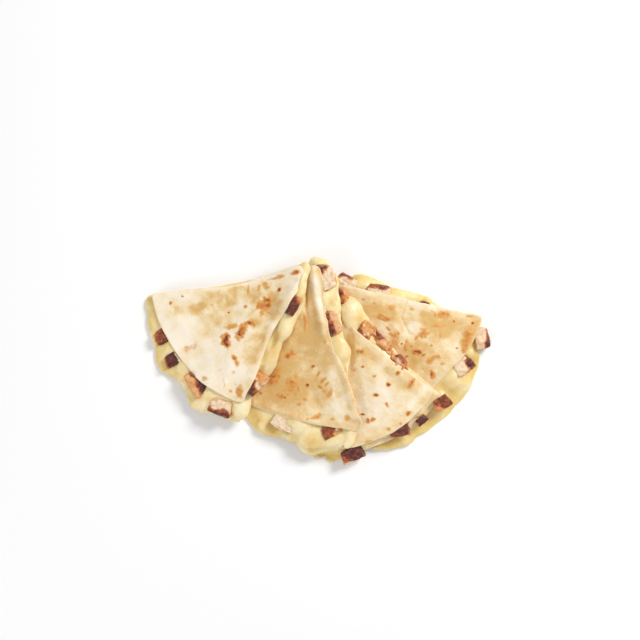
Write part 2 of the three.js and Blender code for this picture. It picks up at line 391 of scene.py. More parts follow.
MARKS = {
    1: [
        [-30, 57, 1.8, 1.8, 0, 1.0],
        [-41, 44, 7, 6, 70, 0.72],
        [-72, 17.5, 6.5, 3.5, 100, 0.85],
        [-59, 24.5, 8, 3.4, 60, 0.7],
        [-53, 30.5, 3.2, 3, 0, 0.8],
        [-68, 28, 6, 2.4, 10, 0.45],
        [-65.5, 3.4, 2.4, 2.0, 120, 0.66],
        [-63.5, -0.6, 3.4, 2.2, 110, 0.44],
        [-103, 10, 5, 3.5, 0, 0.26],
        [-66, -8, 2.2, 1.8, 0, 0.2],
        [-77, -6, 3.4, 2.0, 0, 0.16],
        [-97, 12, 4.2, 2.0, 60, 0.24],
        [-61.5, -23.5, 6, 3, 90, 0.5],
        [-73.5, -17.5, 5.2, 0.9, 88, 0.22],
        [-68.5, -23, 1.3, 1.3, 0, 0.5],
        [-89, -13, 2.8, 2.2, 0, 0.32],
        [-17.5, 70, 4, 2, 15, 0.7],
        [-29.5, 67, 3, 1.7, 10, 0.45],
        [-41, 59.5, 3.8, 2.8, 90, 0.4],
        [-46.5, 58, 3.6, 1.6, 75, 0.36],
        [-54.5, 57, 4.2, 1.6, 80, 0.34],
        [-33, 66, 8, 1.1, 16, 0.36],
        [-84, 45.5, 2.4, 1.8, 0, 0.28],
        [-116.5, 46.5, 1.4, 1.4, 0, 0.9],
        [-107, 51.5, 1, 1, 0, 0.75],
        [-70.5, 38.5, 1.2, 1.2, 0, 0.88],
        [-57, 43.5, 1.6, 1.6, 0, 0.55],
    ],
    2: [
        [-21.5, 5.5, 4.2, 3.8, 0, 0.58],
        [-3.5, -3.7, 1.6, 1.5, 0, 1.0],
        [-8.4, -18, 1.7, 1.4, 90, 1.0],
        [-45.5, -25, 1.6, 1.4, 0, 0.85],
        [-34, -11, 7, 5, 80, 0.6],
        [-36.5, -15.5, 3.4, 2.4, 60, 0.68],
        [-20.5, -18.5, 7.5, 6, 90, 0.5],
        [-24, -16, 2.6, 1.6, 60, 0.56],
        [-17, -11, 2.6, 1.3, 90, 0.44],
        [-15.5, -20, 2.8, 1.4, 100, 0.54],
        [0.5, -9.5, 3, 1.2, 50, 0.5],
        [4, -14, 3.8, 1.2, 42, 0.55],
        [7, -17, 3.5, 1.1, 46, 0.5],
        [1.5, -19, 3.4, 1.4, -34, 0.54],
        [9.6, -24.5, 3.8, 1.9, 72, 0.58],
        [5.5, -23, 2.2, 1.3, 0, 0.5],
        [-28.5, -27, 4, 2, 0, 0.58],
        [-25.5, -28, 1, 0.9, 0, 0.95],
        [-14.5, -33.4, 2.2, 1.6, 60, 0.5],
        [-10.2, -29.5, 1.8, 1.6, 0, 0.46],
        [-1, -42.5, 3.6, 1.8, 20, 0.5],
        [-3.5, -44.2, 2.6, 0.9, 10, 0.46],
        [12, -44.5, 2.2, 1.4, 0, 0.42],
        [23, -43.5, 2.6, 2.6, 0, 0.42],
        [-7.5, -44.5, 1.6, 1.1, 0, 0.42],
        [5.5, 16, 1.8, 1.3, 90, 0.42],
        # Partly an orange toasted streak, partly painted shade in the crease beside the ridge.
        [-10, 31, 8, 1.4, 95, 0.62],
        [-3, 41, 2.6, 1.3, 90, 0.16],
    ],
    3: [
        [34, 8, 3.8, 2.7, -40, 0.85],
        [35, -4, 1.2, 1.1, 0, 0.7],
        [44.5, -11.5, 1.4, 1.3, 0, 0.48],
        [55, -17.5, 2, 1.8, 0, 0.8],
        [45.5, -25.5, 2.2, 1.1, 0, 0.88],
        [54.5, -33.5, 2.2, 1.2, 110, 0.58],
        [35.5, -41.5, 1.8, 1.1, 0, 0.88],
        [39.5, -46, 2, 2, 0, 0.6],
        [44, -45, 2, 1.8, 0, 0.58],
        [63, -8.5, 2, 1.6, 0, 0.76],
        [56, -52.5, 1.9, 1.3, 90, 0.5],
        [65, -48, 1.6, 1.4, 0, 0.42],
        [41, -63, 3.6, 1.3, 20, 0.5],
        [25, -65, 3.6, 2, 40, 0.55],
        [28.5, -6.5, 3.6, 2.8, 0, 0.4],
        [73.5, -16.5, 4.6, 2.6, 65, 0.6],
        [71, -40, 2.4, 2, 0, 0.85],
    ],
    4: [
        [36.5, 49, 1.1, 1, 0, 0.62],
        [44.5, 46, 1.1, 1, 0, 0.55],
        [52, 35, 6.2, 2.4, -20, 0.6],
        [58.5, 43, 3.6, 2.8, 0, 0.42],
        [75, 41.5, 2.1, 1.6, 0, 0.42],
        [97.5, 37.5, 7, 2.8, -5, 0.6],
        [94.5, 28.5, 5.5, 2, 0, 0.38],
        [108, 32, 1, 1, 0, 0.88],
        [122.5, 30.5, 1.3, 1.2, 0, 0.92],
        [118.5, 17, 11, 4, 80, 0.52],
        [121, 36.5, 3, 1.6, -10, 0.42],
        [97.5, 20.5, 2.8, 1.2, 70, 0.48],
        [84.5, 22.5, 5.4, 4.4, 0, 0.46],
        [90, 1.5, 5.5, 2.4, 40, 0.4],
        [63.5, 22.5, 1.3, 1.2, 0, 0.62],
        [78, 19, 1.6, 1.3, 0, 0.65],
        [79, 8, 5, 3, 10, 0.68],
        [90, 13, 1, 1, 0, 0.65],
        [110.5, 10.5, 1.1, 1, 0, 0.72],
        [70, 12.5, 5.6, 2, 80, 0.46],
        [60.5, 17, 6.4, 4.4, 100, 0.46],
        [95.5, 4, 3.2, 3, 0, 0.42],
        [99, -2, 2.1, 1.5, 0, 0.42],
        [91, -9.5, 4, 2.8, 100, 0.66],
        [66, 14, 1.2, 0.9, 30, 0.7],
        [70.5, 4, 2.2, 0.9, 40, 0.65],
        [74, 12, 1.1, 1.0, 0, 0.62],
        [67, 3, 3.0, 0.9, -30, 0.55],
        [84, 5, 1.6, 0.9, 20, 0.7],
        [56, 26, 2.6, 1.2, -40, 0.5],
    ],
}

TONE = {1: 0.12, 2: 0.82, 3: 0.52, 4: 0.6}  # how golden each wedge is as a whole

# [x, y, half its length, half its width, turn, strength] of broad areas that the pan has turned more golden,
# or less golden where the strength is below 0. Two of them hold painted shadow, where a wedge's raised edge
# shades the next one.
GOLDEN = {
    1: [
        [-68, 51, 36, 8, 12, 0.65],
        [-73, 35, 22, 12, 12, 0.45],
        [-46, 18, 22, 9, 65, 0.65],
        [-94, 43, 9, 5, 0, 0.35],
        [-38, 42, 12, 14, 0, 0.5],
        [-62, -20, 12, 8, 0, 0.2],
        [-106, 22, 18, 9, 60, -0.3],
    ],
    2: [
        # Partly painted shadow, where wedge 1's raised edge shades wedge 2, and partly the tortilla's tan.
        [-30, 2, 26, 12, 70, 0.35],
        [-20, -20, 20, 11, 0, 0.4],
        [-4, 18, 22, 10, 80, 0.25],
        [-14, -41, 34, 6, -6, -0.2],
        [17, -26, 28, 8, -80, -0.4],
        [1, 48, 28, 4, -80, -0.6],
        [5, -35, 12, 7, 0, -0.2],
        [-6, -6, 8, 6, 0, -0.25],
    ],
    3: [
        [36, 6, 16, 12, 0, 0.3],
        [66, -14, 16, 8, -40, 0.35],
        [44, -34, 16, 14, 0, -0.2],
        [80, -26, 20, 3.5, 55, -0.4],
        [40, -60, 18, 6, 20, 0.2],
        # Painted shadow: a narrow darker band where wedge 2's raised edge shades wedge 3.
        [25.5, 10, 18, 3.5, 94, 0.7],
    ],
    4: [
        [100, 31, 27, 8, -10, 0.5],
        [85, 20, 12, 8, 0, 0.3],
        [56, 38, 20, 8, -10, 0.5],
        [75, 4, 14, 9, 0, 0.4],
        [118, 15, 14, 6, 80, 0.5],
        [78, 26, 14, 5, -30, -0.4],
        [85, 45, 14, 4, -12, -0.3],
        [106, 12, 8, 6, 0, -0.3],
    ],
}


BROAD_MARK = 3  # half the width from which a mark's edge is fully broken


def toast_at(points, marks):
    """How toasted a tortilla is, from 0 to 1, darkest in the middle of a mark and broken at its edge."""
    frayed = points.copy()
    for axis in (0, 1):
        frayed[:, axis] += 0.8 * noise(points, 4.0, seed=11 + axis) + 0.3 * noise(points, 1.6, seed=21 + axis)
    grain = fractal(points, 3.0, octaves=3, seed=31)
    patchy = fractal(points, 2.0, octaves=2, seed=35)
    total = np.zeros(len(points))
    for x, y, along, across, turn, dark in marks:
        away = ellipse(frayed, x, y, along, across, turn)
        broad = min(1.0, across / BROAD_MARK)
        mark = smoothstep(1.5, 0.2, away + 0.5 * broad * grain) * (1 + 0.45 * broad * patchy)
        total = np.maximum(total, dark * mark)
    return total


def golden_at(points, tone, areas):
    """How golden a tortilla is, from 0 to 1 and past it: its own tone, and areas that are more or less so."""
    grain = fractal(points, 9, octaves=3, seed=41)
    broken = 1 + 0.5 * fractal(points, 4.5, octaves=3, seed=47)
    total = tone + 0.2 * fractal(points, 18, octaves=3, seed=44)
    for x, y, along, across, turn, strength in areas:
        away = ellipse(points, x, y, along, across, turn)
        total += strength * broken * smoothstep(1.4, 0.4, away + 0.4 * grain)
    return total


# ---- Tortillas -----------------------------------------------------------------------------------------

# Folds of the upper tortillas: the line of a fold in plan, its height and its half width. A fold fades out
# towards the far end of its line.
FOLDS = {
    1: [
        [[(-14, 64), (-30, 42), (-42, 14), (-56, -16)], 1.3, 2.6],
        [[(-22, 66), (-38, 46), (-50, 20)], -0.9, 4.0],
        [[(-75, -22), (-70, -6), (-66, 10)], 0.8, 3.5],
        [[(-118, 40), (-96, 20), (-80, -6)], 0.7, 5.0],
    ],
    2: [
        [[(-4, 74), (-1, 50), (4, 24), (9, 10)], 2.8, 3.2],
        [[(-9.5, 70), (-10, 49), (-8, 24)], -1.8, 1.7],
        [[(-16, 46), (-19, 24), (-27, 4)], 1.0, 3.0],
        [[(11, 12), (21, -12), (27, -35), (28, -58)], 1.5, 2.6],
        [[(-50, -33), (-30, -39), (-4, -47), (26, -50)], 1.3, 2.2],
        [[(-26, 8), (-4, 4), (12, 2)], -0.7, 3.0],
        [[(-4, -22), (2, -40), (0, -52)], -0.7, 2.4],
        [[(28, -60), (30, -42)], -4.0, 5.0],
    ],
    3: [
        [[(88, -33), (76, -20), (56, -4), (38, 10)], 1.0, 3.0],
        [[(28, 14), (42, -8), (50, -34)], 0.7, 5],
        [[(30, -20), (34, -40), (32, -62)], -0.6, 4],
        [[(88, -38), (78, -50), (62, -60)], 0.9, 2.4],
    ],
    4: [
        [[(84, -7), (90, 0), (97, 7)], -1.0, 1.3],
        [[(78, 2), (86, 8), (92, 16)], 0.8, 3.0],
        [[(70, 48), (66, 35), (72, 22), (86, 18)], -0.7, 1.3],
        [[(62, 40), (60, 30), (68, 16)], 0.9, 2.6],
        [[(30, 46), (40, 52), (54, 51)], 1.1, 3.0],
        [[(118, 32), (120, 16), (112, 4)], 0.8, 3.2],
    ],
}
FADE_FROM = 0.6  # share of the way along its line at which a fold begins to fade
RIPPLE = 1.1  # height of the waves along a tortilla's rim
RIPPLE_REACH = 6  # how far in they have mostly died down
SWELL = 1.0  # height of the broad unevenness over all of an upper tortilla
BLISTER = 0.45  # how far a toast mark stands up
# The paler rim is partly the tortilla's own paler cut edge and partly a painted highlight along it.
RIM_PALE = (2.2, 0.2)  # depths in from the rim between which a tortilla turns paler


def folded(points, folds):
    total = np.zeros(len(points))
    for line, height, width in folds:
        away, share = from_line(points, line)
        total += height * np.exp(-((away / width) ** 2)) * smoothstep(1.0, FADE_FROM, share)
    return total


# [x, y, reach, distance] of places where an upper tortilla's rim lies further out than its CAD solid's, or
# further in where the distance is below 0.
RIM = {
    1: [[-25, 51, 6, -2.8], [-37, 20, 24, -4.6], [-9, 69, 6, -1.5], [-62, -27, 5, 1.0]],
    2: [[14, 14, 8, 1.2], [-30, -39, 9, 1.0], [29, -50.5, 7, 4.5], [2, 30, 9, 1.0]],
    3: [[90, -30, 7, 1.0], [56, 0, 8, -1.2], [60, -60, 8, 0.8], [22, 10, 7, 1.2]],
    4: [[60, 50, 9, 0.8], [98, 5, 8, -1.4], [126, 34, 6, 1.0]],
}


def rim_and_centre(name, cell, seed, moves):
    """A tortilla's rim, made somewhat uneven, and its middle."""
    rim = even(outline(name), cell, 0)
    flat = layered(rim, seed)
    out = 0.7 * noise(flat, 15, seed=51) + 0.3 * noise(flat, 5, seed=52) + 0.3
    for x, y, reach, distance in moves:
        out += distance * np.exp(-(ellipse(rim, x, y, reach, reach) ** 2))
    return rim + outward_of(rim) * out[:, None], rim.mean(0)


def shell(name, upper_cell, seed, raised, moves=()):
    """A tortilla's vertices, triangles, depth in from the rim and whether each vertex is on the upper side.

    raised gives the height to add to its CAD surface."""
    rim, centre = rim_and_centre(name, upper_cell, seed, moves)
    relief = Relief(name)
    sides = []
    for cell in (upper_cell, UNDER_CELL):
        plan, triangles, shares = disc(rim, centre, EDGE_RINGS, cell)
        depth = edge_depth(rim, centre, plan, shares)
        rounding = 1 - np.sqrt(1 - (1 - np.clip(depth / EDGE_ROUND, 0, 1)) ** 2)
        sides.append((plan, triangles, depth, rounding * TORTILLA / 2))
    height = []
    for n, (plan, _, depth, rounding) in enumerate(sides):
        flat = layered(plan, seed)
        top = relief(flat) + raised(flat, depth)
        height.append(top - rounding if n == 0 else np.maximum(top - TORTILLA + rounding, rounding))
    over, under = (np.column_stack([side[0], z]) for side, z in zip(sides, height))
    shared = len(rim)
    lower = sides[1][1][:, ::-1]
    lower = np.where(lower < shared, lower, lower + len(over) - shared)
    vertices = np.vstack([over, under[shared:]])
    depth = np.concatenate([sides[0][2], sides[1][2][shared:]])
    upward = np.arange(len(vertices)) < len(over)
    return vertices, np.vstack([sides[0][1], lower]), depth, upward


def rim_waves(flat, depth, seed):
    waves = noise(flat, 17, seed=61 + seed) + 0.5 * noise(flat, 8, seed=62 + seed)
    return RIPPLE * waves * np.exp(-depth / RIPPLE_REACH)


def top_tortilla(wedge, material):
    name = f"wedge{wedge}_tortilla_top"

    def raised(flat, depth):
        toast = toast_at(flat, MARKS[wedge])
        blisters = BLISTER * smoothstep(0.1, 0.6, toast) + 0.22 * fractal(flat, 5, octaves=3, seed=71)
        broad = SWELL * noise(flat, 24, seed=72) + 0.35 * noise(flat, 10, seed=73)
        return blisters + broad + folded(flat, FOLDS[wedge]) + rim_waves(flat, depth, wedge)

    vertices, triangles, depth, upward = shell(name, TOP_CELL, wedge, raised, RIM[wedge])
    flat = layered(vertices, wedge)
    values = {
        "toast": toast_at(flat, MARKS[wedge]) * upward,
        "golden": golden_at(flat, TONE[wedge], GOLDEN[wedge]),
        "rim": smoothstep(*RIM_PALE, depth),
    }
    piece(f"tortilla_top_{wedge}", vertices, triangles, material, "tortilla", [name], **values)


BASE_TONE = 0.35
UNDERSIDE = 40  # how far above the upper tortillas' noise that of the lower ones is read
UNDER_MARKS = 46  # marks on the underside of each wedge
MARK_SIZES = [1.2, 2.2, 4.5]
MARK_SHARES = [0.4, 0.35, 0.25]


def base_tortilla(wedge, material):
    name = f"wedge{wedge}_tortilla_base"

    def raised(flat, depth):
        return 0.6 * rim_waves(flat, depth, wedge + 4) + 0.12 * noise(flat, 6, seed=75)

    vertices, triangles, depth, upward = shell(name, BASE_CELL, wedge + 4, raised)
    rng = np.random.default_rng(wedge)
    low, high = vertices[:, :2].min(0), vertices[:, :2].max(0)
    marks = []
    for _ in range(UNDER_MARKS):
        x, y = rng.uniform(low, high)
        size = rng.choice(MARK_SIZES, p=MARK_SHARES)
        length = size * rng.uniform(1, 1.6)
        marks.append([x, y, length, size, rng.uniform(0, 180), rng.uniform(0.4, 0.85)])
    flat = layered(vertices, wedge) + (0, 0, UNDERSIDE)
    values = {
        "toast": toast_at(flat, marks) * ~upward,
        "golden": golden_at(flat, BASE_TONE, []),
        "rim": smoothstep(*RIM_PALE, depth),
    }
    piece(f"tortilla_base_{wedge}", vertices, triangles, material, "tortilla", [name], **values)


# ---- Cheese --------------------------------------------------------------------------------------------

# [x, y, half its length, half its width, turn, height] of lumps and hollows in the cheese's upper side.
# Their heights also colour the cheese: painted highlight on the lumps, painted shade in the hollows.
LUMPS = {
    1: [
        [-60, -36, 9, 6, 68, 1.2],
        [-33.5, 16, 8, 2.8, 66, -2.4],
        [-44, -5, 6, 2.0, 62, -1.2],
        [-120, 30, 9, 5, 60, 0.8],
        [-132, 34, 12, 6, 85, 1.0],
    ],
    2: [
        [25, -58, 9, 4, 78, 1.0],
        [0, 76, 9, 5, 0, 1.2],
        [-24, -52, 7, 4, 0, -1.0],
        [-42, -51, 13, 7, -25, -0.9],
        [2, -63, 16, 5, 5, -0.7],
    ],
    3: [
        [88, -56, 9, 5, 35, 0.8],
        [42, 12, 6, 4, 0, -0.8],
        [4, -75.5, 13, 2.5, -12, -2.0],
    ],
    4: [
        [84, -58, 14, 6, 25, 0.6],
        [118, -4, 7, 4, 60, -0.8],
        [80, -48, 12, 5, 35, 0.6],
        [117, -20, 10, 7, 60, 1.1],
        [98, -40, 10, 5, 45, 0.7],
    ],
}

# [x, y, half its length, half its width, half its height, turn] of runs of melted cheese, each with its
# middle at the height of the CAD solid's top.
RUNS = {
    1: [
        [-24.5, 29, 12, 5.8, 3.4, 64],
        [-35, 7, 13, 4.6, 3.0, 60],
        [-13.5, 57, 12, 3.2, 2.8, 78],
        [-60, -35.5, 10.5, 7.4, 3.0, 68],
        [-30, 18, 10, 2.6, 2.6, 60],
    ],
    2: [
        [25, -58, 10, 3.6, 2.2, 78],
        [16.5, 11, 10, 6, 3.4, 105],
        [7, 47, 9, 5, 2.4, 100],
        [4, -60, 18, 7, 2.6, 6],
        [-36, -52, 12, 6, 1.6, -25],
    ],
    3: [
        [25.5, 36, 13, 8, 4.2, 100],
        [30, 13, 9, 4, 2.0, 105],
    ],
    4: [
        [108, -12, 12, 5, 1.6, 60],
        [92, -32, 12, 5, 1.6, 40],
        [60, 50, 10, 3, 1.4, -12],
        [66, -62, 13, 6, 1.8, 18],
        [55, -65.2, 15, 3.4, 2.0, 10],
    ],
}


CHEESE_GROWTH = 0.45  # how far the cheese's solid grows before it is remeshed
FREE = (0.5, 4)  # distances outside the upper tortilla between which the cheese goes from covered to free
SOFTEN = 5  # rounds of smoothing of a remeshed solid
SOFTEN_FREE = 28  # of cheese that is free
SOFTEN_LAST = 6  # and of all the cheese once more, after its bumps are made
TUCK = 0.9  # how far in the cheese is drawn where it is covered
CHEESE_STEP = 37.0  # how far from one wedge's noise that of the next one's cheese is read
RUN_SKY = 1  # a height above every run, in metres
HEIGHTS = (3.5, 13)  # between which the cheese's colour goes from that of a puddle to that of a fold


def add_run(work, x, y, along, across, tall, turn):
    """Add an ellipsoid to a mesh in bmesh, at the height of its top there."""
    tree = BVHTree.FromBMesh(work)
    top = tree.ray_cast(Vector((x * MM, y * MM, RUN_SKY)), DOWN)[0]
    place = Matrix.Translation(top) @ Matrix.Rotation(math.radians(turn), 4, "Z")
    shape = Matrix.Diagonal((along, across, tall, 1))
    bmesh.ops.create_icosphere(work, subdivisions=4, radius=MM, matrix=place @ shape)


def remeshed(name, cell, runs=(), crumbs=None, grow=0.0):
    """The vertices and triangles of a CAD solid in even cells, with runs of cheese or crumbs added to it.

    It can first grow by some mm all round, so that its thin edges are not lost between the cells."""
    work = bmesh.new()
    work.from_mesh(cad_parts[name].data)
    bmesh.ops.remove_doubles(work, verts=work.verts, dist=1e-6)
    for run in runs:
        add_run(work, *run)
    if crumbs:
        add_crumbs(work, *crumbs)
    joined = bpy.data.meshes.new("work")
    work.to_mesh(joined)
    work.free()
    made = bpy.data.objects.new("work", joined)
    bpy.context.scene.collection.objects.link(made)
    growth = made.modifiers.new("growth", "DISPLACE")
    growth.mid_level = 0
    growth.strength = grow * MM
    modifier = made.modifiers.new("cells", "REMESH")
    modifier.mode = "VOXEL"
    modifier.voxel_size = cell * MM
    depsgraph = bpy.context.evaluated_depsgraph_get()
    mesh = bpy.data.meshes.new_from_object(made.evaluated_get(depsgraph))
    mesh.calc_loop_triangles()
    vertices = np.zeros(len(mesh.vertices) * 3)
    mesh.vertices.foreach_get("co", vertices)
    triangles = np.zeros(len(mesh.loop_triangles) * 3, np.int32)
    mesh.loop_triangles.foreach_get("vertices", triangles)
    bpy.data.objects.remove(made)
    bpy.data.meshes.remove(mesh)
    bpy.data.meshes.remove(joined)
    return vertices.reshape(-1, 3) / MM, triangles.reshape(-1, 3)


def edges_of(triangles):
    pairs = np.vstack([triangles[:, [0, 1]], triangles[:, [1, 2]], triangles[:, [2, 0]]])
    return np.vstack([pairs, pairs[:, ::-1]])


def relaxed(vertices, triangles, rounds, strength=0.5):
    """Vertices moved towards their neighbours' middle."""
    edges = edges_of(triangles)
    count = np.bincount(edges[:, 0], minlength=len(vertices))[:, None]
    for _ in range(rounds):
        sums = [np.bincount(edges[:, 0], vertices[edges[:, 1], n], len(vertices)) for n in range(3)]
        vertices = vertices + strength * (np.stack(sums, axis=1) / count - vertices)
    return vertices


def normals_of(vertices, triangles):
    a, b, c = (vertices[triangles[:, n]] for n in range(3))
    face = np.cross(b - a, c - a)
    total = np.zeros_like(vertices)
    for n in range(3):
        for axis in range(3):
            total[:, axis] += np.bincount(triangles[:, n], face[:, axis], len(vertices))
    return total / np.maximum(np.linalg.norm(total, axis=1), 1e-12)[:, None]


BATCH = 4000  # points that inside() takes at a time


def inside(points, loop):
    """mm in plan from each point to a closed line, positive inside it."""
    result = np.zeros(len(points))
    a, b = loop, np.roll(loop, -1, 0)
    for start in range(0, len(points), BATCH):
        p = points[start : start + BATCH, None, :2]
        away = np.sqrt(np.min(np.sum((p - a) ** 2, axis=2), axis=1))
        crosses = (a[:, 1] > p[..., 1]) != (b[:, 1] > p[..., 1])
        at = (b[:, 0] - a[:, 0]) * (p[..., 1] - a[:, 1]) / (b[:, 1] - a[:, 1] + 1e-12) + a[:, 0]
        odd = np.sum(crosses & (p[..., 0] < at), axis=1) % 2 == 1
        result[start : start + BATCH] = np.where(odd, away, -away)
    return result


def cheese(wedge, material):
    name = f"wedge{wedge}_cheese"
    vertices, triangles = remeshed(name, CHEESE_CELL, RUNS[wedge], grow=CHEESE_GROWTH)
    outside = -inside(vertices, outline(f"wedge{wedge}_tortilla_top"))
    free = smoothstep(*FREE, outside)[:, None]
    vertices = relaxed(vertices, triangles, SOFTEN)
    vertices += free * (relaxed(vertices, triangles, SOFTEN_FREE) - vertices)
    normals = normals_of(vertices, triangles)
    seeded = vertices + CHEESE_STEP * wedge
    wander = 2.2 * noise(seeded, 14, seed=81) + 1.2 * noise(seeded, 7, seed=82) + 1.0
    vertices += normals * (1, 1, 0) * (free * wander[:, None] - TUCK * (1 - free))
    ripples = 1.2 * noise(seeded, 9, seed=83) + 0.5 * noise(seeded, 4, seed=84)
    vertices += normals * (0.1 + free * (0.3 + ripples[:, None])) * (1, 1, 0.8)
    lift = np.zeros(len(vertices))
    for x, y, along, across, turn, height in LUMPS[wedge]:
        lift += height * np.exp(-ellipse(vertices, x, y, along, across, turn) ** 2 * 1.4)
    vertices[:, 2] += smoothstep(-0.1, 0.5, normals[:, 2]) * lift
    vertices = relaxed(vertices, triangles, SOFTEN_LAST)
    vertices += normals * (free * 0.16 * fractal(seeded, 2.6, octaves=2, seed=86)[:, None])
    vertices[:, 2] = np.maximum(vertices[:, 2], 0.0)
    # The colour's lift is painted light: paler on lumps and ripple crests, darker in hollows.
    lift = np.clip(0.3 * lift + 0.35 * ripples * free[:, 0], -0.6, 1)
    thick = smoothstep(*HEIGHTS, vertices[:, 2])
    piece(f"cheese_{wedge}", vertices, triangles, material, "cheese", [name], lift=lift, thick=thick)


# ---- Chicken -------------------------------------------------------------------------------------------

# (direction and elevation that the browned side faces, share that is browned, how dark that is, how orange
# the rest is) of each piece of chicken.
BROWNED = {
    1: [
        (0, 30, 0.72, 0.42, 1.0),
        (30, 40, 0.7, 0.95, 1.0),
        (35, 15, 0.46, 0.9, 0.85),
        (250, 10, 0.42, 0.9, 0.1),
        (215, 25, 0.72, 0.65, 0.9),
        (200, 15, 0.4, 0.8, 1.0),
    ],
    2: [
        (140, 20, 0.16, 0.95, 0.12),
        (210, 15, 0.45, 0.95, 0.75),
        (215, -15, 0.2, 0.8, 0.0),
        (170, 30, 0.42, 0.3, 0.95),
    ],
    3: [
        (190, 20, 0.5, 0.6, 1.0),
        (200, 10, 0.3, 0.4, 1.0),
        (90, 20, 0.2, 0.3, 0.95),
        (60, 20, 0.28, 0.3, 1.0),
        (150, 40, 0.66, 0.6, 1.0),
        (75, 35, 0.62, 0.75, 0.75),
        (200, 60, 0.6, 0.85, 1.0),
        (60, 30, 0.6, 0.45, 1.0),
    ],
    4: [
        (80, 5, 0.26, 0.8, 0.12),
        (85, 0, 0.26, 1.0, 0.02),
        (80, 30, 0.45, 0.85, 0.2),
        (0, 10, 0.34, 0.8, 0.3),
        (15, 20, 0.34, 0.85, 0.08),
    ],
}

# [x, y, how many, how far they spread along and across, turn] of the shreds and crumbs beside a piece of
# chicken, which are made as part of it.
CRUMBS = {
    (3, 3): [52, 13, 26, 9, 3, -42],
    (3, 4): [63, 1, 18, 8, 2.4, -48],
    (3, 2): [42, 22, 10, 5, 3, -40],
    (1, 6): [-47, -14, 7, 4, 3, 60],
    (2, 1): [10, 66, 8, 4, 4, 0],
}


CRUMB_SEED = 5
CRUMB_SIZE = (0.7, 1.5)  # from the smallest half width to the largest
SPREAD = 1.6  # the given spread is this many times the standard deviation of the crumbs' places
CRUMB_SKY = 100  # a height above every crumb
RESTING = 0.35  # how far above what it rests on a crumb's middle lies, as a share of its size


def add_crumbs(work, x, y, count, along, across, turn):
    """Add uneven shreds to a mesh in bmesh, resting on the solids below them."""
    rng = np.random.default_rng(CRUMB_SEED)
    angle = math.radians(turn)
    cos, sin = math.cos(angle), math.sin(angle)
    for _ in range(count):
        u, v = rng.normal(0, (along / SPREAD, across / SPREAD))
        size = rng.uniform(*CRUMB_SIZE)
        place = Vector((x + u * cos - v * sin, y + u * sin + v * cos, 0))
        hits = [tree.ray_cast(Vector((place.x, place.y, CRUMB_SKY)), DOWN)[0] for tree in surfaces()]
        tops = [hit.z for hit in hits if hit is not None]
        if not tops:
            continue
        place.z = max(tops) + RESTING * size
        heading = Matrix.Rotation(angle + rng.normal(0, 0.7), 4, "Z")
        turned = heading @ Matrix.Rotation(rng.normal(0, 0.3), 4, "X")
        shape = Matrix.Diagonal((size * rng.uniform(1.2, 2.6), size, size * rng.uniform(0.7, 1), 1))
        placed = Matrix.Translation(place * MM) @ turned @ shape
        bmesh.ops.create_icosphere(work, subdivisions=3, radius=MM, matrix=placed)


@functools.cache
def surfaces():
    """Trees, in millimetres, of the CAD solids that crumbs can rest on."""
    names = [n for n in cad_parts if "chicken" not in n]
    return [BVHTree.FromPolygons(*(part.tolist() for part in solid(n))) for n in names]


FIBRE = np.array([7.0, 1.5, 1.5])  # length, width and thickness of the meat's fibres
PLUMP = 0.25  # how far a piece swells all round
FIBRE_RELIEF = 0.5
LUMP_RELIEF = 0.55


def chicken(wedge, number, material):
    name = f"wedge{wedge}_chicken_{number}"
    facing, elevation, share, dark, orange = BROWNED[wedge][number - 1]
    crumbs = CRUMBS.get((wedge, number))
    vertices, triangles = remeshed(name, CHICKEN_CELL, crumbs=crumbs)
    vertices = relaxed(vertices, triangles, SOFTEN)
    normals = normals_of(vertices, triangles)
    block = solid(name)[0]
    middle = (block.min(0) + block.max(0)) / 2
    local = vertices - middle
    _, axes = np.linalg.eigh(np.cov(block.T))
    grain = local @ axes[:, ::-1]
    fibres = noise(grain, FIBRE, seed=wedge * 10 + number)
    lumps = noise(vertices, 4.5, seed=91) + 0.5 * noise(vertices, 2.0, seed=92)
    a, e = math.radians(facing), math.radians(elevation)
    towards = np.array([math.cos(a) * math.cos(e), math.sin(a) * math.cos(e), math.sin(e)])
    half = (block.max(0) - block.min(0)) / 2
    place = (local / half) @ towards
    edge = 1.15 - 2.0 * share
    crust = smoothstep(edge - 0.3, edge + 0.3, np.clip(place, -1, 1) + 0.25 * lumps)
    relief = PLUMP + FIBRE_RELIEF * fibres * (1 - 0.5 * crust) + LUMP_RELIEF * lumps
    vertices = vertices + normals * relief[:, None]
    # Painted highlight: convex edges are coloured lighter orange, as if they caught the light.
    smooth = relaxed(vertices, triangles, 4, 1.0)
    proud = np.sum((vertices - smooth) * normals_of(vertices, triangles), axis=1)
    painted_edge_highlight = smoothstep(0.12, 0.4, proud + 0.1 * noise(vertices, 1.5, seed=94))
    ones = np.ones(len(vertices))
    tint = orange * ones
    if crumbs:
        tint = np.clip(tint - smoothstep(0.1, 0.6, noise(vertices, 3.5, seed=96)), 0, 1)
    values = {"crust": crust, "dark": dark * ones, "orange": tint, "painted_edge_highlight": painted_edge_highlight}
    piece(f"chicken_{wedge}_{number}", vertices, triangles, material, "chicken", [name], **values)


# ---- Materials -----------------------------------------------------------------------------------------


# Colours on screen, from 0 to 255. A pair is the two tones that a surface varies between.

# Tortilla, from untoasted to burnt
FLOURY = (247, 234, 213)
DUSTED = (248, 234, 204)
# Partly the cut edge's own colour, partly a painted highlight along the rim
PALE_RIM_AND_HIGHLIGHT = (248, 228, 190)
CREAM = (239, 215, 169)
TAN = (218, 176, 106)
FRECKLE = (214, 152, 84)
TOASTED = (218, 158, 78)
BROWN = (196, 114, 50)
BURNT = (126, 54, 26)

# Cheese, its pairs from its hollows to its bumps: darker to paler, as painted shade and painted highlight
PUDDLE = (224, 188, 98), (242, 217, 147)
FOLD = (227, 189, 106), (246, 226, 176)
